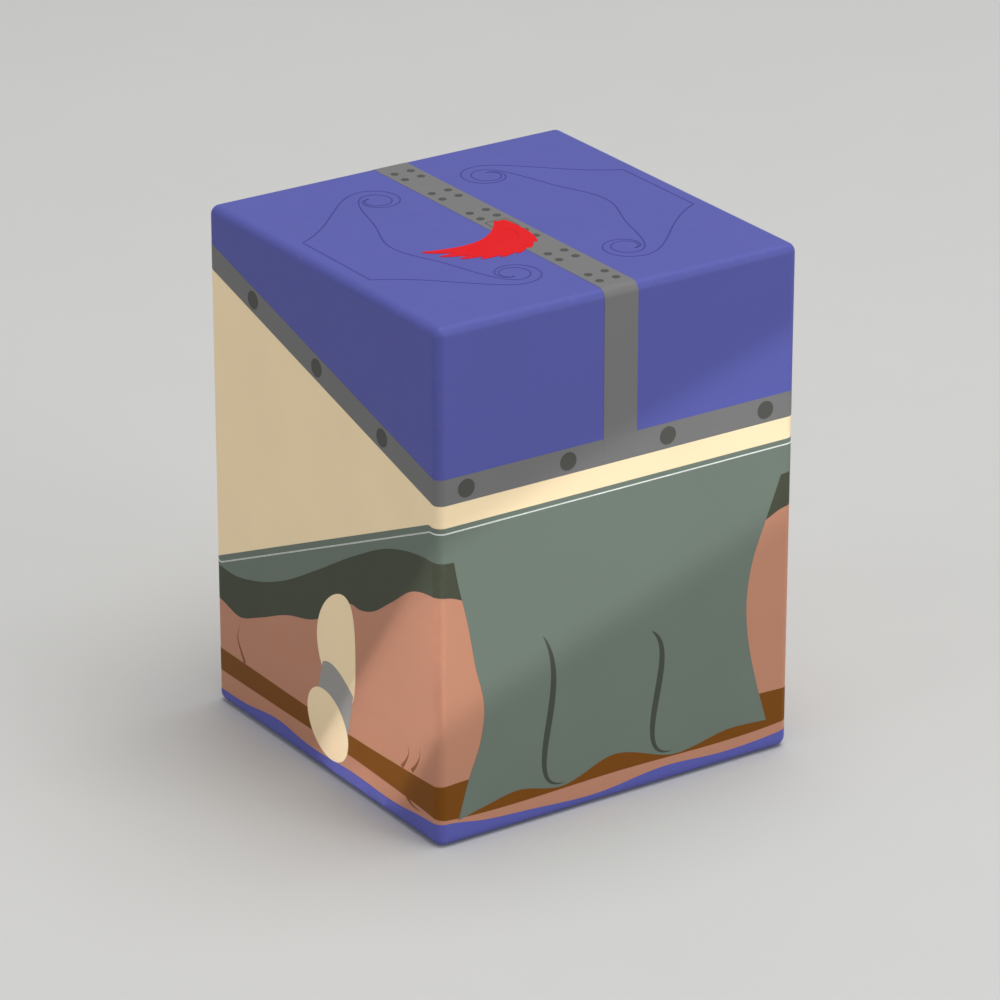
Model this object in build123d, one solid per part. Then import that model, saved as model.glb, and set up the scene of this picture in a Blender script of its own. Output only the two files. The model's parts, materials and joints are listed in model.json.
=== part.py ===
from build123d import *
import os

# Card deck box: a lid pulls straight up off a card tray that is bonded into a base.
# Lid and base are moulded white shells, each under its own printed skin. The parting
# line runs level round the front, falls along both sides and runs level round the back.
#
# Millimetres. +Z is up, the tall side of the base faces -Y, and the origin is the
# middle of the underside.

# ---- outside ---------------------------------------------------------------------
box_width = 80.2            # X, over the printed skins
box_depth = 79.2            # Y, over the printed skins
box_height = 103.0          # Z, lid closed
edge_radius = 2.0           # every outer edge and corner
skin_thickness = 0.2        # printed skin moulded onto each shell

# ---- parting line ----------------------------------------------------------------
seam_front_height = 63.2    # level part round the front
seam_back_height = 30.1     # level part round the back
seam_kink_inset = 2.6       # from the front or back to where the slope starts
seam_kink_radius = 1.5      # rounding where the level parts meet the slope
seam_gap = 0.12             # open height between the two rims, lid closed
lid_skin_setback = 0.16     # bare white rim left under the lid's skin
base_skin_setback = 0.08    # bare white rim left above the base's skin

# ---- shells ----------------------------------------------------------------------
lid_wall = 1.6
lid_roof = 2.2
lid_lead_in = 0.4           # chamfer round the inside of the lid's rim
base_floor = 2.4
cavity_edge_radius = 0.8    # where a shell's walls meet its floor or roof
foot_margin = 0.3           # bare ring between the underside's flat and the skin

# ---- card tray -------------------------------------------------------------------
slide_clearance = 0.3       # tray to lid, each side
bond_gap = 0.1              # tray to base, each side
tray_wall = 1.5
tray_floor = 1.8
tray_corner_radius = 2.0    # outside, upright corners
tray_foot_radius = 1.2      # outside, round the floor
tray_rim_radius = 0.5       # both edges of the rim and of the finger scoops
tray_rim_gap = 12.6         # tray rim to the inside of the lid's roof

# ---- finger scoops in the tray's two side walls -------------------------------------
scoop_width = 30.0
scoop_depth = 23.0

# ---- grip ribs that hold the lid on the tray -----------------------------------------
rib_proud = 0.2
rib_width = 1.2
rib_spacing = 44.0          # between the two ribs of one wall
rib_top_drop = 6.0          # tray rim to the top of a rib
rib_seam_rise = 4.0         # parting line to the foot of a rib

# ---- worked out ------------------------------------------------------------------
shell_width = box_width - 2 * skin_thickness
shell_depth = box_depth - 2 * skin_thickness
shell_radius = edge_radius - skin_thickness
lid_cavity_width = shell_width - 2 * lid_wall
lid_cavity_depth = shell_depth - 2 * lid_wall
tray_width = lid_cavity_width - 2 * slide_clearance
tray_depth = lid_cavity_depth - 2 * slide_clearance
roof_height = box_height - skin_thickness - lid_roof
floor_height = skin_thickness + base_floor
tray_height = roof_height - tray_rim_gap
seam_kink = box_depth / 2 - seam_kink_inset
beyond = box_width + box_depth


def rounded_block(width, depth, bottom, top, radius):
    """A block standing from bottom to top with all its edges rounded."""
    block = Pos(0, 0, (bottom + top) / 2) * Box(width, depth, top - bottom)
    return fillet(block.edges(), radius)


def upright_block(width, depth, bottom, top, radius):
    """A block standing from bottom to top with only its four upright edges rounded."""
    block = Pos(0, 0, (bottom + top) / 2) * Box(width, depth, top - bottom)
    return fillet(block.edges().filter_by(Axis.Z), radius)


def edges_within(solid, half_width, half_depth, bottom, top):
    """The edges whose middles lie inside an upright box about the Z axis."""
    slack = 0.001
    edges = solid.edges().filter_by_position(Axis.X, -half_width - slack, half_width + slack)
    edges = edges.filter_by_position(Axis.Y, -half_depth - slack, half_depth + slack)
    return edges.filter_by_position(Axis.Z, bottom - slack, top + slack)


def edges_at(solid, height):
    """The edges that lie at one height."""
    return edges_within(solid, box_width, box_depth, height, height)


def seam_height(along):
    """Height of the parting line at a place along Y, its kinks taken as sharp."""
    share = (seam_kink - along) / (2 * seam_kink)
    share = min(max(share, 0), 1)
    return seam_back_height + share * (seam_front_height - seam_back_height)


def below_seam(rise):
    """Everything under the parting line after the line is raised by rise."""
    front = seam_front_height + rise
    back = seam_back_height + rise
    line = FilletPolyline(
        (-beyond, front), (-seam_kink, front), (seam_kink, back), (beyond, back),
        radius=seam_kink_radius,
    )
    under = Polyline((beyond, back), (beyond, -beyond), (-beyond, -beyond), (-beyond, front))
    side = make_face(line.edges() + under.edges())
    return extrude(Plane.YZ * side, beyond, both=True)


def outside():
    """The box as it is seen: over the printed skins, lid closed."""
    return rounded_block(box_width, box_depth, 0, box_height, edge_radius)


def shell_body():
    """The box inside its printed skins."""
    top = box_height - skin_thickness
    return rounded_block(shell_width, shell_depth, skin_thickness, top, shell_radius)


def foot_flat():
    """The bare flat of the underside, standing through the opening in the base's skin."""
    margin = 2 * (edge_radius + foot_margin)
    width, depth = box_width - margin, box_depth - margin
    return upright_block(width, depth, 0, floor_height / 2, shell_radius)


def tray_space(gap):
    """The tray's outer form up to the lid's roof, grown sideways by gap."""
    width, depth = tray_width + 2 * gap, tray_depth + 2 * gap
    return upright_block(width, depth, floor_height, roof_height, tray_corner_radius + gap)


def base_shell():
    cavity = tray_space(bond_gap)
    cavity = fillet(edges_at(cavity, floor_height), cavity_edge_radius)
    body = (shell_body() + foot_flat()) & below_seam(-seam_gap / 2)
    return body - cavity


def base_print_skin():
    skin = outside() - shell_body()
    skin = skin & below_seam(-seam_gap / 2 - base_skin_setback)
    width, depth = box_width - 2 * edge_radius, box_depth - 2 * edge_radius
    return skin - Box(width, depth, floor_height)


def lid_shell():
    cavity = tray_space(slide_clearance)
    cavity = fillet(edges_at(cavity, roof_height), cavity_edge_radius)
    through = upright_block(
        lid_cavity_width, lid_cavity_depth, -beyond, box_height / 2,
        tray_corner_radius + slide_clearance,
    )
    lid = shell_body() - below_seam(seam_gap / 2) - cavity - through
    rim = edges_within(
        lid, lid_cavity_width / 2, lid_cavity_depth / 2,
        seam_back_height, seam_front_height + seam_gap,
    )
    return chamfer(rim.filter_by(Axis.Z, reverse=True), lid_lead_in)


def lid_print_skin():
    return outside() - shell_body() - below_seam(seam_gap / 2 + lid_skin_setback)


def finger_scoop():
    """A slot with a round bottom, cut down from the rim through both side walls."""
    radius = scoop_width / 2
    bottom = tray_height - scoop_depth
    slot = Pos(0, 0, bottom + radius) * Rot(0, 90, 0) * Cylinder(radius, beyond)
    height = 2 * (scoop_depth - radius)
    return slot + Pos(0, 0, tray_height) * Box(beyond, scoop_width, height)


def grip_rib(side, along):
    """A low round-backed rib, from above the parting line up to near the tray's rim."""
    radius = (rib_width ** 2 / 4 + rib_proud ** 2) / (2 * rib_proud)
    foot = seam_height(along) + rib_seam_rise
    head = tray_height - rib_top_drop
    from_centre = tray_width / 2 + rib_proud - radius
    return Pos(side * from_centre, along, (foot + head) / 2) * Cylinder(radius, head - foot)


def card_tray():
    tray = upright_block(tray_width, tray_depth, floor_height, tray_height, tray_corner_radius)
    tray = fillet(edges_at(tray, floor_height), tray_foot_radius)
    inside = upright_block(
        tray_width - 2 * tray_wall, tray_depth - 2 * tray_wall,
        floor_height + tray_floor, tray_height + tray_floor,
        tray_corner_radius - tray_wall,
    )
    ribs = [
        grip_rib(side, along) for side in (-1, 1) for along in (-rib_spacing / 2, rib_spacing / 2)
    ]
    tray = tray - inside - finger_scoop()
    scoop_rims = edges_within(
        tray, tray_width / 2, scoop_width / 2, tray_height - scoop_depth, tray_height,
    )
    rims = edges_at(tray, tray_height) + scoop_rims.filter_by(Axis.X, reverse=True)
    return (fillet(rims, tray_rim_radius) + ribs) - inside


pieces = {
    "base_shell": base_shell,
    "base_print_skin": base_print_skin,
    "card_tray": card_tray,
    "lid_shell": lid_shell,
    "lid_print_skin": lid_print_skin,
}

os.makedirs("parts", exist_ok=True)
for name, make in pieces.items():
    export_step(make(), f"parts/{name}.step")
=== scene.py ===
"""Looks of a lift-off card deck box: printed skins on two white shells, and the card tray.

The box stands on Z = 0 with its tall side facing -Y. Every printed field is a thin closed
layer that lies inside the skin's thickness, so a colour edge is a real edge. Metres.
"""

import json
import math

import bmesh
import bpy
import numpy as np
from bpy.props import FloatProperty, FloatVectorProperty, IntProperty, PointerProperty
from bpy.types import Operator, Panel, PropertyGroup
from mathutils import Matrix, Vector

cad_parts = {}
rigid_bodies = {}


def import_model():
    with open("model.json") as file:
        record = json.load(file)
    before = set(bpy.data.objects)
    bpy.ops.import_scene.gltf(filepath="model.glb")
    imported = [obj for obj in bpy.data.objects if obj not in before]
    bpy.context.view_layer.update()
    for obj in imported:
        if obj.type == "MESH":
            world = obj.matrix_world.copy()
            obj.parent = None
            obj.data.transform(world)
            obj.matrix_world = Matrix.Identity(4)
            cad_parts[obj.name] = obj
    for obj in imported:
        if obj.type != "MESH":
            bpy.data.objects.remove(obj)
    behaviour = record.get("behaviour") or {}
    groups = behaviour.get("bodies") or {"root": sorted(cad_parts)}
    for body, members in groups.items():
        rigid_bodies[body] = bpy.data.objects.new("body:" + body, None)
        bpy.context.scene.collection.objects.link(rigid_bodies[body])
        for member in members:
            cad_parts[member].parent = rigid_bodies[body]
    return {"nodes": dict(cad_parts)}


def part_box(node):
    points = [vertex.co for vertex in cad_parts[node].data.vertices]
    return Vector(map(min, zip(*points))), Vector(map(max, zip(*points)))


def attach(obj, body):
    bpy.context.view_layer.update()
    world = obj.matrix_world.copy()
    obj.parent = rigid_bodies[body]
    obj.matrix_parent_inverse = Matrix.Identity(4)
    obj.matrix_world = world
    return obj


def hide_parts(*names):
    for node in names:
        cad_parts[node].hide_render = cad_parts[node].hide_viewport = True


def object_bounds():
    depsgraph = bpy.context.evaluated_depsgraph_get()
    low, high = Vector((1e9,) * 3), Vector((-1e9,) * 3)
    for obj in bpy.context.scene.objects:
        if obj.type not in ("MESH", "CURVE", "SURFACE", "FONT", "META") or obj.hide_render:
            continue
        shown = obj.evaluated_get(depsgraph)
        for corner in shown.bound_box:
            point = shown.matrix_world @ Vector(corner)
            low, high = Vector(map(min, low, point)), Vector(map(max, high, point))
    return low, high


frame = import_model()

bl_info = {
    "name": "Card Deck Box",
    "version": (1, 0, 0),
    "blender": (4, 5, 0),
    "location": "3D View > Sidebar > Deck Box",
    "description": "Builds the printed skins, finishes and stage of a lift-off card deck box",
    "category": "Object",
}

MM = 0.001
LOW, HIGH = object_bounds()
LID_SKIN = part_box("lid_print_skin")
LID_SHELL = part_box("lid_shell")
BASE_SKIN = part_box("base_print_skin")
QUARTER = math.pi / 2
LID_STEP = 0.8 * MM      # widest step round the lid's walls
BASE_STEP = 0.6 * MM     # widest step round the base's walls
FILLET_ROWS = 17         # points over a rounded edge
APART = 0.003 * MM       # keeps crossing pieces of one layer out of one plane


def length(name, text, value):
    """A length setting, given in millimetres and kept in metres."""
    return FloatProperty(
        name=name, description=text, default=value * MM, unit="LENGTH", precision=5,
    )


def power(name, text, value):
    """A light's power in watts."""
    return FloatProperty(
        name=name, description=text, default=value, min=0.0, unit="POWER", precision=5,
    )


def colour(name, text, value):
    """A colour setting in linear light."""
    return FloatVectorProperty(
        name=name, description=text, default=value, subtype="COLOR", size=3, min=0.0, max=1.0,
    )


# ---- settings ----------------------------------------------------------------------


class BoxSizes(PropertyGroup):
    """Sizes of the box that its printed layers follow."""

    edge_radius: length("Edge radius", "Rounding of every outer edge and corner", 2.0)
    skin: length(
        "Skin thickness", "Thickness of the printed skin over the shells",
        (LID_SKIN[1].z - LID_SHELL[1].z) / MM,
    )
    front_seam: length(
        "Front seam", "Height of the base skin's top edge round the front", BASE_SKIN[1].z / MM,
    )
    back_seam: length(
        "Back seam", "Height of the lid skin's bottom edge round the back", LID_SKIN[0].z / MM,
    )
    bare_rim: length("Bare rim", "Height of white rim and gap between the two skins", 0.36)
    slope_inset: length("Slope inset", "From front or back to where the seam's slope starts", 2.6)
    kink: length("Seam kink", "Half length of the curve where level and slope meet", 0.32)
    ground: length("Ground layer", "Thickness of the first printed layer", 0.10)
    step: length("Layer step", "How much higher each further layer stands", 0.025)


class LidPrint(PropertyGroup):
    """Sizes of what is printed on the lid."""

    strip_front: length("Strip, front", "Green strip above the seam on the front", 0.86)
    strip_side: length("Strip, sides", "Green strip above the seam on the sides", 1.24)
    strip_back: length("Strip, back", "Green strip above the seam on the back", 0.5)
    band_width: length("Band width", "Upright width of the riveted band", 5.12)
    band_inset: length("Band inset", "From front or back to where the band's slope starts", 1.2)
    band_front: length("Band, front", "Height of the band's middle on the front", 71.22)
    band_back: length("Band, back", "Height of the band's middle on the back", 92.9)
    strap_width: length("Strap width", "Width of the strap over the roof", 7.45)
    rivet_radius: length("Rivet radius", "Radius of a rivet on the band", 1.8)
    rivet_pitch: length("Rivet pitch", "Distance from rivet to rivet", 22.25)
    rivet_shift: length("Rivet shift", "Middle of the rivets on the front, along X", -0.4)
    white_rim: length("White rim", "Height of the lid's white rim at the seam", 0.09)
    cover: length("Strip overhang", "How far the green strip hangs over the white rim", 0.10)
    dot_radius: length("Dot radius", "Radius of a small rivet on the strap", 0.8)
    dot_spacing: length("Dot spacing", "Distance between the small rivets of a group", 3.65)
    dot_pitch: length("Dot group pitch", "Distance from group to group", 13.0)
    dot_shift: length("Dot group shift", "Middle of the groups along the strap", -0.8)
    dot_groups: IntProperty(
        name="Dot groups", description="Groups of four small rivets along the strap",
        default=6, min=1, max=12,
    )
    line: length("Scroll line", "Width of the scroll lines on the roof", 0.24)
    locks: IntProperty(
        name="Feather locks", description="Pointed locks of the feather",
        default=8, min=2, max=16,
    )
    lock_width: length("Lock width", "Breadth of each of the feather's locks", 5.4)
    lock_root: FloatProperty(
        name="Lock root", description="Width of a feather's lock at its root, as a share",
        default=0.4, min=0.1, max=1.0,
    )


class BasePrint(PropertyGroup):
    """Sizes of what is printed on the base."""

    fold: length("Fold width", "Widest part of a fold line on the front panel", 1.35)
    crease: length("Crease width", "Widest part of a crease on the sides", 0.9)
    toggle_reach: length("Toggle reach", "Half width of the toggle's upper oval", 6.75)
    white_rim: length("White rim", "Height of the base's white rim at the seam", 0.08)


class PrintColours(PropertyGroup):
    """Inks of the printed skins and the plain plastics."""

    blue: colour("Blue", "Roof and lid walls", (0.094, 0.103, 0.368))
    # Foot blue is the lid's blue painted about an eighth lighter: painted light that makes up for
    # the shade on the bottom fillet near the floor.
    foot: colour("Foot blue", "Foot line round the base", (0.106, 0.114, 0.420))
    grey: colour("Grey", "Band, strap and toggle ring", (0.176, 0.175, 0.176))
    rivet: colour("Rivet grey", "Rivets on band and strap", (0.078, 0.078, 0.072))
    cream: colour("Cream", "Lid walls under the band, and the toggle", (0.960, 0.770, 0.492))
    green: colour("Green", "Front panel and strip along the seam", (0.151, 0.190, 0.158))
    dark: colour("Dark green", "Hanging wave round the base", (0.060, 0.068, 0.045))
    fold: colour("Fold green", "Fold lines on the front panel", (0.062, 0.072, 0.054))
    clay: colour("Terracotta", "Lower walls of the base", (0.515, 0.242, 0.155))
    crease: colour("Crease", "Short creases on the lower walls", (0.230, 0.084, 0.034))
    brown: colour("Brown", "Belt round the base", (0.196, 0.065, 0.0044))
    red: colour("Red", "Feather on the roof", (0.700, 0.004, 0.008))
    ink: colour("Scroll ink", "Scroll lines on the roof", (0.050, 0.050, 0.240))
    ring: colour("Ring grey", "Ring between the toggle's two ovals", (0.335, 0.325, 0.312))
    # The white at the seam is real, but this white is painted brighter than the shells' white:
    # painted light that makes up for the shade in the narrow gap between the skins.
    rim: colour("White rim", "Bare white rims along the seam", (0.92, 0.95, 0.92))
    white: colour("White shell", "Moulded shells", (0.80, 0.81, 0.79))
    tray: colour("Tray", "Card tray", (0.74, 0.75, 0.73))


class StageSettings(PropertyGroup):
    """Floor, lights and camera."""

    floor: colour("Floor", "Colour of the floor", (0.58, 0.58, 0.57))
    sky: FloatProperty(
        name="Room light", description="Strength of the even light of the room",
        default=0.34, min=0.0,
    )
    over: power("Overhead light", "Power of the softbox above", 21.0)
    front: power("Front light", "Power of the softbox before the front", 11.0)
    left: power("Left light", "Power of the softbox on the left", 5.0)
    strip: power("Strip light", "Power of the narrow light from front left", 0.0050)
    lens: FloatProperty(
        name="Lens", description="Focal length of the camera in millimetres", default=192.65,
        min=1.0,
    )


class DeckBoxSettings(PropertyGroup):
    """Everything the operators read."""

    box: PointerProperty(type=BoxSizes)
    lid: PointerProperty(type=LidPrint)
    base: PointerProperty(type=BasePrint)
    inks: PointerProperty(type=PrintColours)
    stage: PointerProperty(type=StageSettings)


def settings():
    """The scene's deck box settings."""
    return bpy.context.scene.deck_box


# ---- curves ------------------------------------------------------------------------


def smooth_line(places, values, at):
    """Cubic curve through a few points. Each point's slope is the slope of the parabola
    through it and its two neighbours."""
    places = np.asarray(places, float)
    values = np.asarray(values, float)
    slopes = np.gradient(values, places)
    i = np.clip(np.searchsorted(places, at) - 1, 0, len(places) - 2)
    span = places[i + 1] - places[i]
    u = np.clip((at - places[i]) / span, 0, 1)
    w = 1 - u
    ends = (1 + 2 * u) * w ** 2 * values[i] + (1 + 2 * w) * u ** 2 * values[i + 1]
    return ends + u * w * span * (w * slopes[i] - u * slopes[i + 1])


def smooth_path(points, count):
    """Smooth curve through a few points in the plane, the two coordinates each a cubic
    line over the distance along the points. Points are in millimetres, the result in metres."""
    points = np.asarray(points, float) * MM
    gone = np.concatenate([[0], np.cumsum(np.hypot(*np.diff(points, axis=0).T))])
    at = np.linspace(0, gone[-1], count)
    return np.stack([smooth_line(gone, points[:, k], at) for k in (0, 1)], axis=1)


def bezier(points, count):
    """Bezier curve of any order by its Bernstein sum. Points in millimetres."""
    points = np.asarray(points, float) * MM
    order = len(points) - 1
    u = np.linspace(0, 1, count)[:, None]
    return sum(
        math.comb(order, k) * u ** k * (1 - u) ** (order - k) * p for k, p in enumerate(points)
    )


def side_of(path):
    """Unit vectors square to a path in the plane, on its left."""
    run = np.gradient(path, axis=0)
    run /= np.linalg.norm(run, axis=1, keepdims=True)
    return np.stack([-run[:, 1], run[:, 0]], axis=1)


def stroke(path, width):
    """Flat brush stroke: two rails half a width to each side of a path."""
    offset = side_of(path) * np.broadcast_to(width, len(path))[:, None] / 2
    return np.stack([path - offset, path + offset], axis=1)


def oval(centre, reach, rise, tilt, rings=6, spokes=64):
    """Filled ellipse: rings of points at growing shares of the outline, tilt in degrees."""
    share = np.linspace(0, 1, rings)[:, None]
    turn = np.arange(spokes) * 2 * math.pi / spokes
    along = share * reach * np.cos(turn)
    across = share * rise * np.sin(turn)
    lean = math.radians(tilt)
    first = centre[0] + along * math.cos(lean) - across * math.sin(lean)
    second = centre[1] + along * math.sin(lean) + across * math.cos(lean)
    return np.stack([first, second], axis=2)


# ---- the box as a surface ----------------------------------------------------------


class Skin:
    """The box's outer surface as functions of two distances.

    Round the box, s runs from the middle of the front towards +X, and t runs up the wall.
    The wall point is a point of the upright core rectangle plus a radius along the
    direction that turns through each rounded corner; t past a fillet's end runs on to the
    middle of the roof on shrinking copies of the core rectangle."""

    corner_steps = 16

    def __init__(self):
        box = settings().box
        self.radius = box.edge_radius
        self.under = box.edge_radius - box.skin
        self.half_x = HIGH.x - self.radius
        self.half_y = HIGH.y - self.radius
        self.arc = self.radius * QUARTER
        self.side_start = self.half_x + self.arc
        self.side_middle = self.side_start + self.half_y
        self.side_end = self.side_start + 2 * self.half_y
        self.half_round = self.side_end + self.arc + self.half_x
        self.foot = self.radius - self.arc
        self.shoulder = HIGH.z - self.radius
        self.slope_half = HIGH.y - box.slope_inset
        self.drop = box.front_seam + box.bare_rim - box.back_seam

    def around(self, s):
        """Core point and outward direction at distance s round the box."""
        gone = np.abs(s)
        near = np.clip((gone - self.half_x) / self.arc, 0, 1)
        far = np.clip((gone - self.side_end) / self.arc, 0, 1)
        turn = (near + far) * QUARTER
        past = np.clip(gone - self.side_end - self.arc, 0, self.half_x)
        x = np.clip(gone, 0, self.half_x) - past
        y = np.clip(gone - self.side_start, 0, 2 * self.half_y) - self.half_y
        side = np.where(s < 0, -1.0, 1.0)
        return side * x, y, side * np.sin(turn), -np.cos(turn)

    def wall(self, s, t, lift):
        """Point at distance s round and t up, lifted above the shell."""
        s, t = np.broadcast_arrays(s, t)
        x, y, out_x, out_y = self.around(s)
        rise = np.clip(t - self.shoulder, 0, self.arc) + np.clip(t - self.radius, -self.arc, 0)
        tilt = rise / self.radius
        roof = np.clip(t - self.shoulder - self.arc, 0, self.half_y)
        shrink = 1 - roof / self.half_y
        reach = (self.under + lift) * np.cos(tilt)
        z = np.clip(t, self.radius, self.shoulder) + (self.under + lift) * np.sin(tilt)
        return np.stack([x * shrink + out_x * reach, y * shrink + out_y * reach, z], axis=-1)

    def over(self, x, p, lift):
        """Point at x across and p along the way up the front, over the roof and down the
        back, where the front and back fillets turn the direction by a quarter each."""
        x, p = np.broadcast_arrays(x, p)
        back_start = self.shoulder + self.arc + 2 * self.half_y
        near = np.clip((p - self.shoulder) / self.arc, 0, 1)
        far = np.clip((p - back_start) / self.arc, 0, 1)
        turn = (near + far) * QUARTER
        y = np.clip(p - self.shoulder - self.arc, 0, 2 * self.half_y) - self.half_y
        down = np.clip(p - back_start - self.arc, 0, self.shoulder)
        z = np.clip(p, 0, self.shoulder) - down
        reach = self.under + lift
        return np.stack([x, y - reach * np.cos(turn), z + reach * np.sin(turn)], axis=-1)

    def roof(self, x, y, lift):
        """Point of the flat roof at x and y."""
        return self.over(x, y + self.half_y + self.shoulder + self.arc, lift)

    def side(self, sign):
        """Chart of a side wall by its own y and z, on +X or -X."""
        return lambda y, z, lift: self.wall(sign * (self.side_middle + y), z, lift)

    def columns(self, step):
        """Distances once round the box: even steps on the walls, and fine ones on the
        corners and beside them, where the seam turns."""
        turn = settings().box.slope_inset
        marks = [0, self.half_x, self.side_start, self.side_start + turn, self.side_end - turn,
                 self.side_end, self.side_end + self.arc, self.half_round]
        pieces = []
        for k, (start, end) in enumerate(zip(marks, marks[1:])):
            even = k in (0, 3, 6)
            steps = math.ceil((end - start) / step) if even else self.corner_steps
            pieces.append(np.linspace(start, end, steps + 1)[1:])
        half = np.concatenate(pieces)
        return np.concatenate([-half[-2::-1], [0], half])

    def depth(self, s):
        """The wall's own y at distance s round the box."""
        _, y, _, out_y = self.around(s)
        return y + out_y * self.radius

    def fall(self, s, half):
        """Share of the way from the front's level to the back's, 0 to 1: the wall's y
        from -half to half, with a short parabola where slope and level meet."""
        place = self.depth(s)
        bend = settings().box.kink

        def past(d):
            """0 before -bend, d after bend, and a parabola between them."""
            curve = (d + bend) ** 2 / (4 * bend)
            return np.where(d < -bend, 0, np.where(d > bend, d, curve))

        held = place - past(place - half) + past(-half - place)
        return (held + half) / (2 * half)

    def rim(self, s):
        """Heights of the base skin's top edge and the lid skin's bottom edge."""
        box = settings().box
        low = box.front_seam - self.drop * self.fall(s, self.slope_half)
        return low, low + box.bare_rim

    def slope(self, s):
        """Height of the lid rim's slope, carried on straight past its two bends."""
        box = settings().box
        share = self.depth(s) / self.slope_half
        return box.front_seam + box.bare_rim - self.drop * (1 + share) / 2

    @property
    def buried(self):
        """Lift of the underside of a layer that lies on the first one, halfway down it."""
        return self.level(0) / 2

    def level(self, number):
        """Lift of the top of layer 0, 1, 2 ... above the shell."""
        box = settings().box
        return box.ground + number * box.step


# ---- meshes ------------------------------------------------------------------------


def slab(outer, inner, ring=False):
    """Closed slab between two grids of points of the same shape (rows, columns, 3): both
    faces and the walls along the open borders. A ring has its last column joined to its
    first."""
    rows, columns = outer.shape[:2]
    count = rows * columns
    index = np.arange(count).reshape(rows, columns)
    if ring:
        index = np.concatenate([index, index[:, :1]], axis=1)
    face = np.stack([index[:-1, :-1], index[:-1, 1:], index[1:, 1:], index[1:, :-1]], axis=2)
    face = face.reshape(-1, 4)
    borders = [index[0, ::-1], index[-1]]
    if not ring:
        borders += [index[:, 0], index[::-1, -1]]
    walls = [np.stack([b[:-1], b[1:], b[1:] + count, b[:-1] + count], axis=1) for b in borders]
    points = np.concatenate([outer.reshape(-1, 3), inner.reshape(-1, 3)])
    return points, np.concatenate([face, face[:, ::-1] + count, *walls])


def layer(chart, first, second, top, bottom, ring=False):
    """Slab of a grid laid on a chart, between two lifts above the shell."""
    return slab(chart(first, second, top), chart(first, second, bottom), ring)


def drawn(skin, chart, grid, lift, ring=False):
    """Slab of a flat grid of places (rows, columns, 2) laid on a chart, from inside the
    first layer up to a lift."""
    return layer(chart, grid[..., 0], grid[..., 1], lift, skin.buried, ring)


def walled(skin, s, rows, number, bottom=0.0):
    """Slab right round the walls: rows of heights over the distances s, up to a layer."""
    grid = np.stack([np.broadcast_to(row, s.shape) for row in rows])
    return [layer(skin.wall, s[None], grid, skin.level(number), bottom, True)]


def tidy_mesh(mesh):
    """Joins doubled points at poles and tips, drops what has no area, faces outwards."""
    work = bmesh.new()
    work.from_mesh(mesh)
    bmesh.ops.remove_doubles(work, verts=work.verts, dist=0.0001 * MM)
    bmesh.ops.dissolve_degenerate(work, edges=work.edges, dist=0.00001 * MM)
    bmesh.ops.recalc_face_normals(work, faces=work.faces)
    work.to_mesh(mesh)
    work.free()


def piece(name, parts, material, body, node):
    """Object of one or more slabs, riding on a body and standing for its printed skin."""
    offsets = np.cumsum([0] + [len(points) for points, _ in parts[:-1]])
    points = np.concatenate([points for points, _ in parts])
    faces = np.concatenate([faces + start for (_, faces), start in zip(parts, offsets)])
    mesh = bpy.data.meshes.new(name)
    mesh.from_pydata(points.tolist(), [], faces.tolist())
    tidy_mesh(mesh)
    mesh.polygons.foreach_set("use_smooth", np.ones(len(mesh.polygons), bool))
    mesh.set_sharp_from_angle(angle=math.radians(30))
    mesh.materials.append(material)
    made = bpy.data.objects.new(name, mesh)
    bpy.context.scene.collection.objects.link(made)
    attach(made, body)
    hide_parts(node)
    return made


def lid_piece(name, parts, material):
    """A printed piece of the lid."""
    return piece(name, parts, material, "lid", "lid_print_skin")


def base_piece(name, parts, material):
    """A printed piece of the base."""
    return piece(name, parts, material, "base", "base_print_skin")


# ---- materials ---------------------------------------------------------------------


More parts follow.
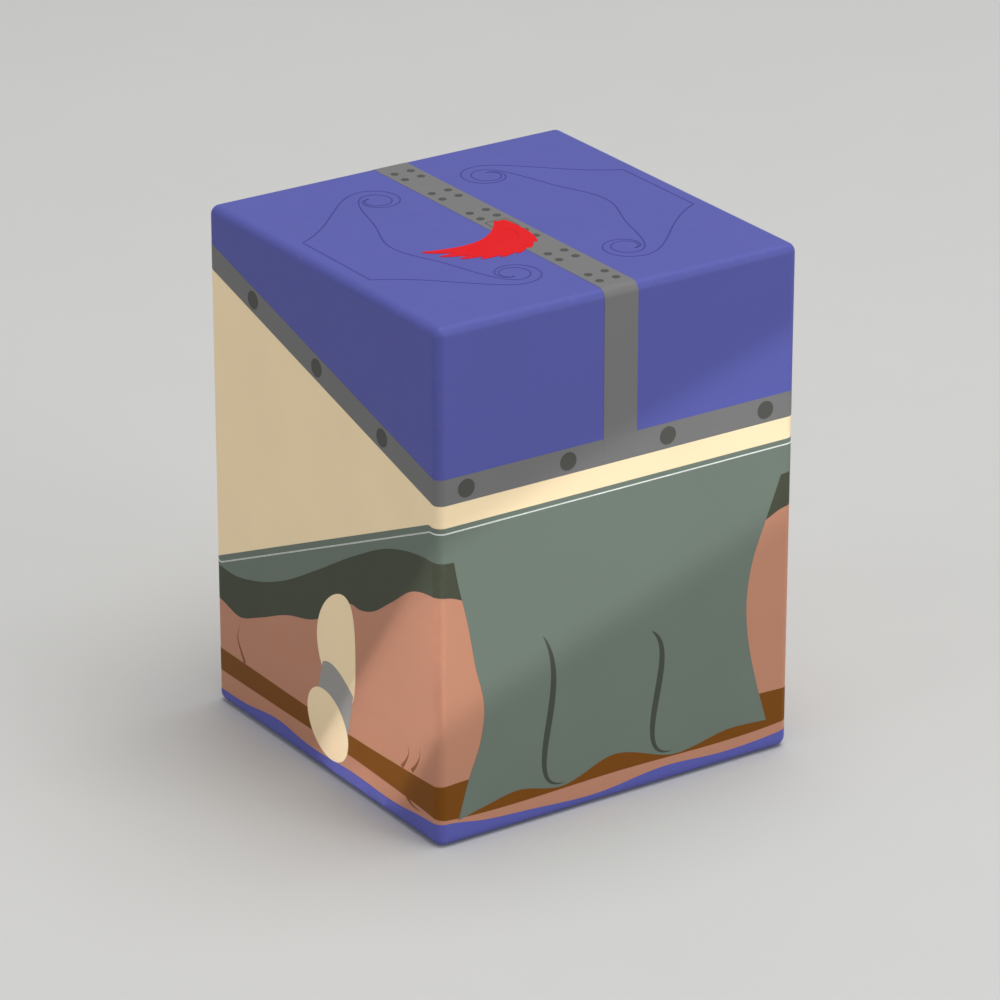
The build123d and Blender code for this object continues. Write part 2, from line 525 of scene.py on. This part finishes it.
class Nodes:
    """A material's node tree with short calls to add to it."""

    def __init__(self, name):
        self.material = bpy.data.materials.new(name)
        self.material.use_nodes = True
        self.tree = self.material.node_tree
        self.shader = self.tree.nodes["Principled BSDF"]
        self.place = self.add("ShaderNodeTexCoord").outputs["Object"]

    def add(self, kind, **values):
        """A node with attributes set."""
        node = self.tree.nodes.new(kind)
        for key, value in values.items():
            setattr(node, key, value)
        return node

    def put(self, socket, value):
        """Links or sets one input."""
        if isinstance(value, bpy.types.NodeSocket):
            self.tree.links.new(value, socket)
        else:
            socket.default_value = value

    def noise(self, scale, detail=3.0, roughness=0.5):
        """Noise from 0 to 1 over the object's own coordinates, scale in waves a metre."""
        node = self.add("ShaderNodeTexNoise")
        self.put(node.inputs["Vector"], self.place)
        self.put(node.inputs["Scale"], scale)
        self.put(node.inputs["Detail"], detail)
        self.put(node.inputs["Roughness"], roughness)
        return node.outputs["Fac"]

    def spread(self, value, start, end, low, high, smooth=False):
        """Maps a value from one range to another, held at its ends."""
        node = self.add("ShaderNodeMapRange")
        node.interpolation_type = "SMOOTHSTEP" if smooth else "LINEAR"
        for key, entry in zip(("Value", "From Min", "From Max", "To Min", "To Max"),
                              (value, start, end, low, high)):
            self.put(node.inputs[key], entry)
        return node.outputs["Result"]

    def math(self, operation, first, second=0.0):
        """One math node."""
        node = self.add("ShaderNodeMath", operation=operation)
        self.put(node.inputs[0], first)
        self.put(node.inputs[1], second)
        return node.outputs["Value"]

    def tint(self, base, share, towards):
        """Mixes a colour towards another by a share."""
        node = self.add("ShaderNodeMix", data_type="RGBA")
        self.put(node.inputs["Factor"], share)
        self.put(node.inputs["A"], base)
        self.put(node.inputs["B"], towards)
        return node.outputs["Result"]

    def near_edge(self, start, end):
        """1 on the box's rounded edges and 0 on its flats. The distances to the three
        pairs of sides are summed and the largest left out, so it is small only where two
        sides are near."""
        middle = self.add("ShaderNodeVectorMath", operation="SUBTRACT")
        self.put(middle.inputs[0], self.place)
        self.put(middle.inputs[1], (0.0, 0.0, HIGH.z / 2))
        size = self.add("ShaderNodeVectorMath", operation="ABSOLUTE")
        self.put(size.inputs[0], middle.outputs["Vector"])
        rest = self.add("ShaderNodeVectorMath", operation="SUBTRACT")
        self.put(rest.inputs[0], (HIGH.x, HIGH.y, HIGH.z / 2))
        self.put(rest.inputs[1], size.outputs["Vector"])
        split = self.add("ShaderNodeSeparateXYZ")
        self.put(split.inputs[0], rest.outputs["Vector"])
        x, y, z = split.outputs
        total = self.math("ADD", self.math("ADD", x, y), z)
        largest = self.math("MAXIMUM", self.math("MAXIMUM", x, y), z)
        return self.spread(self.math("SUBTRACT", total, largest), start, end, 0.0, 1.0, True)

    def bump(self, height, distance, strength, below=None):
        """Bump from a height, over another bump's normal if one is given."""
        node = self.add("ShaderNodeBump")
        self.put(node.inputs["Height"], height)
        self.put(node.inputs["Distance"], distance)
        self.put(node.inputs["Strength"], strength)
        if below is not None:
            self.put(node.inputs["Normal"], below)
        return node.outputs["Normal"]


def shade(ink, share):
    """A colour made lighter or darker by a factor, as RGBA."""
    return (*(min(channel * share, 1.0) for channel in ink), 1.0)


def printed_film(name, ink):
    """Satin printed film: ink that varies by a few hundredths, a fine grain, a slow
    unevenness of the moulded wall, and faint paler patches on the box's edges that are
    partly rubbed ink and partly a painted highlight along the rounded edges."""
    found = bpy.data.materials.get(name)
    if found:
        return found
    n = Nodes(name)
    gloss = 0.42
    cloud = n.spread(n.noise(70.0, detail=4.0), 0.3, 0.7, 0.0, 1.0)
    speckle = n.spread(n.noise(2600.0, detail=2.0, roughness=0.6), 0.35, 0.75, 0.0, 0.10)
    colour_mix = n.tint(shade(ink, 0.985), cloud, shade(ink, 1.015))
    colour_mix = n.tint(colour_mix, speckle, shade(ink, 0.86))
    # Paler patches on the rounded edges, the ink lightened towards white: partly rubbed ink,
    # partly a painted highlight along the fillets.
    edge_patches = n.spread(n.noise(520.0, detail=5.0, roughness=0.65), 0.52, 0.72, 0.0, 1.0, True)
    scuff_and_edge_highlight = n.math("MULTIPLY", n.near_edge(3.2 * MM, 1.2 * MM), edge_patches)
    scuff_and_edge_highlight = n.math("MULTIPLY", scuff_and_edge_highlight, 0.12)
    worn_and_highlight_tone = tuple(min(channel * 0.82 + 0.10, 1.0) for channel in ink) + (1.0,)
    n.put(n.shader.inputs["Base Color"], n.tint(colour_mix, scuff_and_edge_highlight, worn_and_highlight_tone))
    rough = n.spread(n.noise(160.0, detail=3.0), 0.3, 0.7, gloss - 0.035, gloss + 0.045)
    n.put(n.shader.inputs["Roughness"], n.math("ADD", rough, scuff_and_edge_highlight))
    slow = n.bump(n.noise(45.0, detail=1.0), 0.05 * MM, 0.07)
    fine = n.bump(n.noise(3800.0, detail=2.0), 0.012 * MM, 0.20, slow)
    n.put(n.shader.inputs["Normal"], fine)
    n.put(n.shader.inputs["Specular IOR Level"], 0.10)
    return n.material


def moulded_plastic(name, tone, gloss, grain):
    """Plain moulded plastic: spark-eroded grain, faint flow marks, rubbed patches."""
    n = Nodes(name)
    flow = n.noise(38.0, detail=5.0, roughness=0.55)
    colour_mix = n.tint(shade(tone, 0.965), n.spread(flow, 0.3, 0.7, 0.0, 1.0), shade(tone, 1.02))
    n.put(n.shader.inputs["Base Color"], colour_mix)
    patches = n.noise(210.0, detail=4.0, roughness=0.6)
    rubbed = n.spread(patches, 0.5, 0.75, 0.0, -0.10, True)
    n.put(n.shader.inputs["Roughness"], n.math("ADD", rubbed, gloss))
    pits = n.add("ShaderNodeTexVoronoi", feature="SMOOTH_F1")
    n.put(pits.inputs["Vector"], n.place)
    n.put(pits.inputs["Scale"], 2400.0)
    slow = n.bump(flow, 0.04 * MM, 0.18)
    n.put(n.shader.inputs["Normal"], n.bump(pits.outputs["Distance"], 0.02 * MM, grain, slow))
    n.put(n.shader.inputs["Specular IOR Level"], 0.35)
    return n.material


# ---- operators ---------------------------------------------------------------------


class DECKBOX_OT_plastics(Operator):
    """Finishes the two moulded shells and the card tray"""

    bl_idname = "deck_box.plastics"
    bl_label = "Shells and tray"

    def execute(self, context):
        inks = settings().inks
        white = moulded_plastic("white_moulded_plastic", inks.white, 0.46, 0.22)
        tray = moulded_plastic("tray_moulded_plastic", inks.tray, 0.55, 0.35)
        for node, material in (("lid_shell", white), ("base_shell", white), ("card_tray", tray)):
            data = frame["nodes"][node].data
            data.materials.clear()
            data.materials.append(material)
        return {"FINISHED"}


class DECKBOX_OT_lid_fields(Operator):
    """Lays the lid's colour fields: blue cap, cream walls, green strip and white rim"""

    bl_idname = "deck_box.lid_fields"
    bl_label = "Lid colour fields"

    def execute(self, context):
        skin = Skin()
        inks = settings().inks
        lid = settings().lid
        s = skin.columns(LID_STEP)
        rim = skin.rim(s)[1]
        middle = band_middle(skin, s)
        strip_top = self.strip_top(skin, s, rim)
        fillet = np.linspace(skin.shoulder, skin.shoulder + skin.arc, FILLET_ROWS)
        roof = fillet[-1] + skin.half_y * np.array([0.02, 0.35, 0.7, 1.0])
        tuck = 0.2 * MM
        bare = rim - lid.cover
        for name, rows, number, film, ink in (
            ("lid_blue_cap", [middle, *fillet, *roof], 0, "blue_film", inks.blue),
            ("lid_cream_field", [strip_top - tuck, middle], 0, "cream_film", inks.cream),
            ("lid_green_strip", [bare, strip_top], 1, "green_film", inks.green),
            # The lid's white rim is painted brighter than the shell's white, to make up for the
            # shade in the gap at the seam.
            ("lid_white_rim", [bare - lid.white_rim, bare], 1, "seam_white_painted_brighter_film", inks.rim),
        ):
            lid_piece(name, walled(skin, s, rows, number), printed_film(film, ink))
        return {"FINISHED"}

    def strip_top(self, skin, s, rim):
        """Height of the green strip's upper edge. It stands a little over the rim on the
        front and higher on the sides, with a smooth step in the first part of each side,
        and runs on down the sides' slope until it meets the strip's height at the back."""
        lid = settings().lid
        share = skin.fall(s, skin.half_y)
        first_part = 0.019
        beside = np.clip(share / first_part, 0, 1)
        beside = beside ** 2 * (3 - 2 * beside)
        front = rim + lid.strip_front + (lid.strip_side - lid.strip_front) * beside
        back = np.maximum(skin.slope(s) + lid.strip_side, rim + lid.strip_back)
        return np.where(share > 0.5, back, front)


def band_middle(skin, s):
    """Height of the riveted band's middle: level on the front and back and straight
    between them along the sides, turning on the rounded corners."""
    lid = settings().lid
    half = HIGH.y - lid.band_inset
    return lid.band_front + (lid.band_back - lid.band_front) * skin.fall(s, half)


class DECKBOX_OT_lid_band(Operator):
    """Lays the riveted band round the lid and the strap over its roof"""

    bl_idname = "deck_box.lid_band"
    bl_label = "Band, strap and rivets"

    def execute(self, context):
        skin = Skin()
        inks = settings().inks
        lid = settings().lid
        grey = printed_film("grey_film", inks.grey)
        dark = printed_film("rivet_film", inks.rivet)
        s = skin.columns(LID_STEP)
        middle = band_middle(skin, s)
        rows = [middle - lid.band_width / 2, middle + lid.band_width / 2]
        lid_piece("lid_riveted_band", walled(skin, s, rows, 1, skin.buried), grey)
        reach = 2 * skin.shoulder + 2 * skin.arc + 2 * skin.half_y
        fine = np.linspace(0, skin.arc, FILLET_ROWS)
        along = np.concatenate([
            [lid.band_front], skin.shoulder + fine,
            skin.shoulder + skin.arc + 2 * skin.half_y + fine, [reach - lid.band_back],
        ])
        across = np.array([-lid.strap_width / 2, lid.strap_width / 2])
        lid_piece(
            "lid_strap",
            [layer(skin.over, across[None], along[:, None], skin.level(2), skin.buried)], grey,
        )
        lid_piece("lid_rivets", self.rivets(skin, lid), dark)
        lid_piece("lid_strap_dots", self.dots(skin, lid), dark)
        return {"FINISHED"}

    def rivets(self, skin, lid):
        """Discs on the band: four on the front and back, three on each side. The sides'
        rows stand a little behind the middle."""
        behind = 1.1 * MM
        steps = np.array([-1.5, -0.5, 0.5, 1.5]) * lid.rivet_pitch + lid.rivet_shift
        sides = np.array([-1, 0, 1]) * lid.rivet_pitch + skin.side_middle + behind
        places = np.concatenate([steps, steps + skin.half_round, sides, -sides])
        places = np.where(places > skin.half_round, places - 2 * skin.half_round, places)
        radius = lid.rivet_radius
        return [
            drawn(skin, skin.wall, oval(centre, radius, radius, 0), skin.level(2), True)
            for centre in zip(places, band_middle(skin, places))
        ]

    def dots(self, skin, lid):
        """Groups of four small discs along the strap."""
        groups = (np.arange(lid.dot_groups) - (lid.dot_groups - 1) / 2) * lid.dot_pitch
        half = lid.dot_spacing / 2
        rows = (groups + lid.dot_shift)[:, None] + np.array([[-half, half]])
        radius = lid.dot_radius
        return [
            drawn(skin, skin.roof, oval((x, y), radius, radius, 0, 4, 32), skin.level(3), True)
            for row in rows for x in (-half, half) for y in row
        ]


class DECKBOX_OT_lid_scrolls(Operator):
    """Draws the scroll lines on the two halves of the roof"""

    bl_idname = "deck_box.lid_scrolls"
    bl_label = "Roof scrolls"

    def execute(self, context):
        skin = Skin()
        path = self.quarter()
        line = settings().lid.line
        parts = [
            drawn(skin, skin.roof, stroke(path * mirror, line), skin.level(1))
            for mirror in ((1, 1), (1, -1), (-1, 1), (-1, -1))
        ]
        lid_piece("lid_scrolls", parts, printed_film("scroll_film", settings().inks.ink))
        return {"FINISHED"}

    def quarter(self):
        """One quarter of a C-scroll pair. An edge line and a curve lead into a spiral whose
        distance from its eye shrinks with a power of the share of its one turn, and a
        second spiral closer to the eye leads back out, to a curve and a tail."""
        eye = np.array([12.8, 23.2])
        widest = 5.6
        share = np.linspace(0, 1, 120)
        turn = np.radians(70 + 360 * share)
        out = widest * (1 - 0.72 * share ** 1.6)
        inner = out * (1 - 0.42 * np.sqrt(1 - share))
        ray = np.stack([np.cos(turn), np.sin(turn)], axis=1)
        outer_spiral = (eye + out[:, None] * ray) * MM
        inner_spiral = (eye + inner[:, None] * ray) * MM
        edge_end = (36.1, 11.6)
        tail_start = (20.6, 10.6)
        edge = bezier([(36.1, 0.0), edge_end], 12)
        lead_in = bezier([edge_end, (27.0, 15.6), (20.5, 26.6), outer_spiral[0] / MM], 40)
        lead_out = bezier([inner_spiral[0] / MM, (17.6, 24.0), (18.4, 16.6), tail_start], 30)
        tail = bezier([tail_start, (22.0, 7.0), (23.9, 4.0), (23.9, 0.0)], 24)
        return np.concatenate([
            edge, lead_in[1:], outer_spiral[1:], inner_spiral[-2::-1], lead_out[1:], tail[1:],
        ])


class DECKBOX_OT_lid_feather(Operator):
    """Lays the feather and the outline of its seat across the strap"""

    bl_idname = "deck_box.lid_feather"
    bl_label = "Feather"

    def execute(self, context):
        skin = Skin()
        inks = settings().inks
        corners = [(2.2, -3.2), (2.2, 1.6), (-2.3, 1.6), (-2.6, -1.6)]
        line = 0.2 * MM
        under_feather = skin.level(3) - 0.01 * MM
        lid_piece(
            "lid_feather_seat",
            [drawn(skin, skin.roof, stroke(smooth_path(ends, 12), line), under_feather)
             for ends in zip(corners, corners[1:])],
            printed_film("rivet_film", inks.rivet),
        )
        shares = np.linspace(0, 1, settings().lid.locks)
        lifts = skin.level(3) + (0.006 + 0.014 * shares) * MM
        lid_piece(
            "lid_feather",
            [drawn(skin, skin.roof, self.lock(share), lift)
             for share, lift in zip(shares, lifts)],
            printed_film("red_film", inks.red),
        )
        quill = bezier([(-0.9, -2.6), (1.0, -6.2), (-2.6, -9.6)], 30)
        width = 0.4 * MM * np.sin(math.pi * np.linspace(0.02, 0.98, len(quill)))
        lid_piece(
            "lid_feather_quill",
            [drawn(skin, skin.roof, stroke(quill, width), skin.level(4))],
            printed_film("dark_red_film", tuple(0.8 * channel for channel in inks.red)),
        )
        return {"FINISHED"}

    def lock(self, share):
        """One lock of the feather, share 0 at the back and 1 at the front: a stroke from the
        root along a parabola. Over the feather the tips turn through the fan's angle round
        the root and draw nearer to it, and the parabolas sag less. The width grows evenly
        from the root while a falling power of the share left to go narrows it to a point."""
        lid = settings().lid
        root = np.array([0.5, 1.0])
        first_turn, fan = 196, 72
        turn = math.radians(first_turn + fan * share)
        longest, shortened = 22.0, 9.0
        reach = longest - shortened * share ** 2
        chord = reach * np.array([math.cos(turn), math.sin(turn)])
        sag = 0.52 * (1 - share ** 2)
        middle = root + chord / 2 + sag * np.array([-chord[1], chord[0]])
        path = bezier([root, middle, root + chord], 60)
        u = np.linspace(0, 1, len(path))
        full = 1.65
        grow = lid.lock_root + (full - lid.lock_root) * u
        return stroke(path, lid.lock_width * grow * (1 - 0.99 * u) ** 0.7)


class DECKBOX_OT_base_fields(Operator):
    """Lays the base's colour fields: green, hanging wave, terracotta, belt and foot line"""

    bl_idname = "deck_box.base_fields"
    bl_label = "Base colour fields"

    def execute(self, context):
        skin = Skin()
        inks = settings().inks
        s = skin.columns(BASE_STEP)
        gone = np.abs(s)
        rim = skin.rim(s)[0]
        white_top = rim + settings().base.white_rim
        wave_top = self.wave_top(gone)
        wave_low = self.wave_low(gone)
        middle = (wave_top + wave_low) / 2
        tuck = 0.3 * MM
        fillet = np.linspace(skin.foot, skin.radius, FILLET_ROWS)
        foot = skin.foot + (self.foot_line(s) - skin.foot) * np.linspace(0, 1, 18)[:, None]
        buried = skin.buried
        for name, rows, number, bottom, film, ink in (
            ("base_green_field", [wave_top, rim], 2, 0.0, "green_film", inks.green),
            # The base's white rim is painted brighter than the shell's white, to make up for the
            # shade in the gap at the seam.
            ("base_white_rim", [rim, white_top], 2, 0.0, "seam_white_painted_brighter_film", inks.rim),
            ("base_terracotta_field", [*fillet, middle], 0, 0.0, "terracotta_film", inks.clay),
            ("base_hanging_wave", [wave_low, wave_top + tuck], 1, buried, "dark_green_film",
             inks.dark),
            ("base_belt", self.belt(gone), 1, buried, "brown_film", inks.brown),
            # The foot line's ink is the lid's blue painted lighter, to make up for the shade near
            # the floor.
            ("base_foot_line", foot, 1, 0.0, "foot_blue_painted_lighter_film", inks.foot),
        ):
            base_piece(name, walled(skin, s, rows, number, bottom), printed_film(film, ink))
        return {"FINISHED"}

    def wave_top(self, gone):
        """Height of the wave's upper edge, by distance from the front's middle."""
        places = np.array([0, 36, 42, 48, 55, 68, 81, 93, 104, 111, 117, 124, 138, 158, 178])
        heights = np.array([57.1, 57.2, 57.5, 56.9, 55.1, 48.8, 41.2, 34.6, 30.5, 29.1, 29.2,
                            28.9, 26.3, 24.4, 26.3])
        return smooth_line(places * MM, heights * MM, gone)

    def wave_low(self, gone):
        """Height of the wave's lower edge, by distance from the front's middle."""
        places = np.array([0, 34, 37, 42, 48, 55, 62, 66, 69, 75, 82, 92, 103, 109, 117, 130,
                           158, 186])
        heights = np.array([48.6, 48.9, 50.2, 50.5, 49.1, 44.3, 39.8, 38.7, 38.8, 34.6, 30.7,
                            27.8, 23.1, 20.9, 22.1, 19.5, 17.0, 19.5])
        return smooth_line(places * MM, heights * MM, gone)

    def belt(self, gone):
        """Heights of the belt's lower and upper edge, by distance from the front's middle."""
        places = np.array([0, 36, 44, 60, 116, 157.2]) * MM
        low = smooth_line(places, np.array([5.38, 5.4, 6.1, 6.8, 6.85, 6.85]) * MM, gone)
        high = smooth_line(places, np.array([12.7, 12.7, 12.3, 11.6, 11.5, 11.5]) * MM, gone)
        return low, high

    def foot_line(self, s):
        """Upper edge of the foot line, a slow wave of its own on the front."""
        side = np.array([44, 54, 69, 85, 96.4, 108, 117, 135, 157.2])
        rise = np.array([4.6, 3.7, 3.9, 3.35, 4.3, 3.0, 2.8, 3.3, 2.7])
        front = np.array([-38, -30, -20, -5, 11, 25, 38])
        front_rise = np.array([4.8, 3.55, 2.85, 2.05, 3.5, 2.8, 3.6])
        places = np.concatenate([-side[::-1], front, side])
        return smooth_line(places * MM, np.concatenate([rise[::-1], front_rise, rise]) * MM, s)


class DECKBOX_OT_front_panel(Operator):
    """Lays the front's hanging panel with its two folds"""

    bl_idname = "deck_box.front_panel"
    bl_label = "Front panel"

    def execute(self, context):
        skin = Skin()
        inks = settings().inks
        base_piece(
            "base_front_panel",
            [drawn(skin, skin.wall, self.outline(), skin.level(2) + APART)],
            printed_film("green_film", inks.green),
        )
        base_piece(
            "base_panel_folds",
            [drawn(skin, skin.wall, self.fold(x, top), skin.level(3))
             for x, top in ((-17.0, 37.7), (7.6, 32.4))],
            printed_film("fold_film", inks.fold),
        )
        return {"FINISHED"}

    def fold(self, x, top):
        """A fold line hanging from x and top: one curve that sways and hooks at its foot,
        drawn with a stroke as wide as a power of half a sine wave, widest above its middle."""
        path = bezier([(x, top), (x + 6, 28), (x, 17), (x - 3, 6.0), (x + 5, 6.4)], 60)
        share = np.linspace(0, 1, len(path))
        width = settings().base.fold * np.sin(math.pi * share ** 0.8) ** 0.75
        return stroke(path, width)

    def outline(self):
        """Panel between two waisted edges, a scalloped hem and the skin's top edge: each
        column runs straight up its share of the way between the two edges."""
        u = np.linspace(0, 1, 121)[None]
        v = np.linspace(0, 1, 61)[:, None]
        top = settings().box.front_seam
        foot_left, foot_width = -36.0 * MM, 71.0 * MM
        hem_x = np.array([-36, -30.5, -24, -12.5, -1.5, 13.5, 26.5, 35]) * MM
        hem_z = np.array([5.0, 6.3, 7.55, 5.8, 9.1, 5.5, 7.35, 6.9]) * MM
        hem = smooth_line(hem_x, hem_z, foot_left + foot_width * u)
        z = hem + (top - hem) * v
        left_z = np.array([5, 12.4, 20, 26, 35.5, 44, 54, 63.2]) * MM
        left_x = np.array([-35.7, -33.5, -30.7, -29.9, -31.9, -33.5, -35.9, -37.4]) * MM
        left = smooth_line(left_z, left_x, z)
        right_z = np.array([6.9, 16.4, 26, 33, 41, 48.5, 57.2, 63.2]) * MM
        right_x = np.array([34.65, 31.9, 29.9, 29.5, 30.7, 33.5, 36.9, 38.9]) * MM
        right = smooth_line(right_z, right_x, z)
        x = left + (right - left) * u
        return np.stack([x, z], axis=2)


class DECKBOX_OT_side_toggles(Operator):
    """Lays the toggle and the creases on both side walls"""

    bl_idname = "deck_box.side_toggles"
    bl_label = "Side toggles"

    def execute(self, context):
        skin = Skin()
        inks = settings().inks
        cream = printed_film("cream_film", inks.cream)
        grey = printed_film("ring_film", inks.ring)
        lower = oval((-1.2 * MM, 10.5 * MM), 7.7 * MM, 6.3 * MM, 40)
        for name, grid, number, closed, film in (
            ("base_toggle_uppers", self.bent_oval(), 2, True, cream),
            ("base_toggle_rings", self.ring(), 3, False, grey),
            ("base_toggle_lowers", lower, 4, True, cream),
        ):
            lift = skin.level(number)
            parts = [drawn(skin, skin.side(sign), grid, lift, closed) for sign in (-1, 1)]
            base_piece(name, parts, film)
        under_belt = skin.level(1) - APART
        parts = [
            drawn(skin, skin.side(sign), grid, under_belt)
            for grid in self.creases() for sign in (-1, 1)
        ]
        base_piece("base_creases", parts, printed_film("crease_film", inks.crease))
        return {"FINISHED"}

    def creases(self):
        """Short strokes that grow from a point at their first end."""
        lines = [[(30.6, 19.2), (31.5, 15.8), (30.4, 13.7), (29.0, 11.6)],
                 [(-29.0, 17.6), (-29.4, 16.1), (-28.6, 14.2), (-27.0, 12.1)],
                 [(-33.2, 18.6), (-33.2, 17.0), (-32.0, 14.5), (-30.4, 12.6)],
                 [(-33.8, 5.5), (-32.2, 5.4), (-30.2, 5.7), (-28.6, 6.6)]]
        width = settings().base.crease * np.linspace(0, 1, 24) ** 1.3
        return [stroke(smooth_path(points, len(width)), width) for points in lines]

    def bent_oval(self):
        """The upper oval: an upright ellipse whose axis is bent to a parabola, so that
        both its ends reach towards the front."""
        middle_y, middle_z = -4.5 * MM, 28.0 * MM
        bend = 50 * MM
        grid = oval((middle_y, middle_z), settings().base.toggle_reach, 11.5 * MM, 0)
        grid[..., 0] -= (grid[..., 1] - middle_z) ** 2 / bend
        return grid

    def ring(self):
        """Grey ring between the ovals: a strip between two arched edges."""
        upper = bezier([(0.3, 23.1), (-2.6, 24.9), (-6.6, 23.0), (-10.4, 19.8)], 33)
        lower = bezier([(2.0, 17.4), (-2.0, 17.4), (-6.0, 15.0), (-8.2, 10.8)], 33)
        share = np.linspace(0, 1, 9)[:, None, None]
        return upper[None] * share + lower[None] * (1 - share)


class DECKBOX_OT_stage(Operator):
    """Sets up the floor, the lights and the camera"""

    bl_idname = "deck_box.stage"
    bl_label = "Stage"

    def execute(self, context):
        self.floor()
        self.lights()
        self.camera(context)
        context.scene.view_settings.view_transform = "Standard"
        return {"FINISHED"}

    def floor(self):
        """A wide plain floor that the box stands on."""
        size = 12.0
        corners = [(-size, -size, 0.0), (size, -size, 0.0), (size, size, 0.0), (-size, size, 0.0)]
        mesh = bpy.data.meshes.new("floor")
        mesh.from_pydata(corners, [], [(0, 1, 2, 3)])
        n = Nodes("floor_paint")
        tone = settings().stage.floor
        cloud = n.spread(n.noise(3.0, 3.0), 0.3, 0.7, 0.0, 1.0)
        n.put(n.shader.inputs["Base Color"], n.tint(shade(tone, 0.99), cloud, shade(tone, 1.01)))
        n.put(n.shader.inputs["Roughness"], n.spread(n.noise(40.0), 0.3, 0.7, 0.55, 0.62))
        mesh.materials.append(n.material)
        made = bpy.data.objects.new("floor", mesh)
        bpy.context.scene.collection.objects.link(made)

    def lights(self):
        """An even room light, two softboxes and one narrow strip whose edge falls softly
        across the front and one side."""
        stage = settings().stage
        world = bpy.data.worlds.new("room")
        world.use_nodes = True
        background = world.node_tree.nodes["Background"]
        background.inputs["Color"].default_value = (1.0, 1.0, 1.0, 1.0)
        background.inputs["Strength"].default_value = stage.sky
        bpy.context.scene.world = world
        self.softbox("softbox_over", (0.25, -0.15, 1.6), (0, 0, 0.05), (1.3, 1.3), stage.over)
        self.softbox("softbox_front", (0.75, -1.7, 0.55), (0, 0, 0.05), (1.0, 1.0), stage.front)
        self.softbox("softbox_left", (-1.7, 0.2, 0.75), (0, 0, 0.05), (1.0, 1.0), stage.left)
        self.strip_light(stage.strip)

    def strip_light(self, power):
        """A narrow strip whose light stays between two slanting planes: its short side
        stands square to them, and its long side reaches across the box."""
        across = Vector((-0.183, 0.800, 0.572)).normalized()
        towards = Vector((-0.709, -0.510, 0.487))
        towards = (towards - across * towards.dot(across)).normalized()
        along = across.cross(towards)
        far, aside = 0.45, 0.036
        place = towards * far + along * aside
        made = self.softbox("strip_front_left", place, (0, 0, 0), (0.125, 0.0206), power)
        made.rotation_euler = Matrix((along, across, towards)).transposed().to_euler()
        made.data.spread = math.radians(1.0)
        lit = bpy.data.collections.new("strip_lit")
        for entry in bpy.context.scene.objects:
            if entry.type == "MESH" and entry.name != "floor":
                lit.objects.link(entry)
        made.light_linking.receiver_collection = lit

    def softbox(self, name, place, target, size, power):
        """Rectangular light at a place, aimed at a target."""
        data = bpy.data.lights.new(name, "AREA")
        data.shape = "RECTANGLE"
        data.size, data.size_y = size
        data.energy = power
        made = bpy.data.objects.new(name, data)
        bpy.context.scene.collection.objects.link(made)
        made.location = place
        aim = made.location - Vector(target)
        made.rotation_euler = aim.to_track_quat("Z", "Y").to_euler()
        made.visible_camera = False
        return made

    def camera(self, context):
        """Camera a little above and to the left of the front."""
        data = bpy.data.cameras.new("camera")
        data.sensor_width = 36.0
        data.lens = settings().stage.lens
        made = bpy.data.objects.new("camera", data)
        context.scene.collection.objects.link(made)
        made.location = (-0.52128, -0.77908, 0.44844)
        made.rotation_euler = (math.radians(66.804), 0.0, math.radians(-33.784))
        context.scene.camera = made


OPERATORS = (
    DECKBOX_OT_plastics, DECKBOX_OT_lid_fields, DECKBOX_OT_lid_band, DECKBOX_OT_lid_scrolls,
    DECKBOX_OT_lid_feather, DECKBOX_OT_base_fields, DECKBOX_OT_front_panel,
    DECKBOX_OT_side_toggles, DECKBOX_OT_stage,
)


class DECKBOX_PT_panel(Panel):
    """Lists the deck box's operators and settings"""

    bl_idname = "DECKBOX_PT_panel"
    bl_label = "Deck Box"
    bl_space_type = "VIEW_3D"
    bl_region_type = "UI"
    bl_category = "Deck Box"

    def draw(self, context):
        for operator in OPERATORS:
            self.layout.operator(operator.bl_idname)
        found = context.scene.deck_box
        for group in (found.box, found.lid, found.base, found.inks, found.stage):
            box = self.layout.box()
            for key in group.__annotations__:
                box.prop(group, key)


CLASSES = (
    BoxSizes, LidPrint, BasePrint, PrintColours, StageSettings, DeckBoxSettings,
    *OPERATORS, DECKBOX_PT_panel,
)


def register():
    for entry in CLASSES:
        bpy.utils.register_class(entry)
    bpy.types.Scene.deck_box = PointerProperty(type=DeckBoxSettings)


def unregister():
    del bpy.types.Scene.deck_box
    for entry in reversed(CLASSES):
        bpy.utils.unregister_class(entry)


def main():
    """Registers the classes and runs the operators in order."""
    register()
    for operator in OPERATORS:
        group, name = operator.bl_idname.split(".")
        getattr(getattr(bpy.ops, group), name)()
    bpy.context.view_layer.update()


if __name__ == "__main__":
    main()
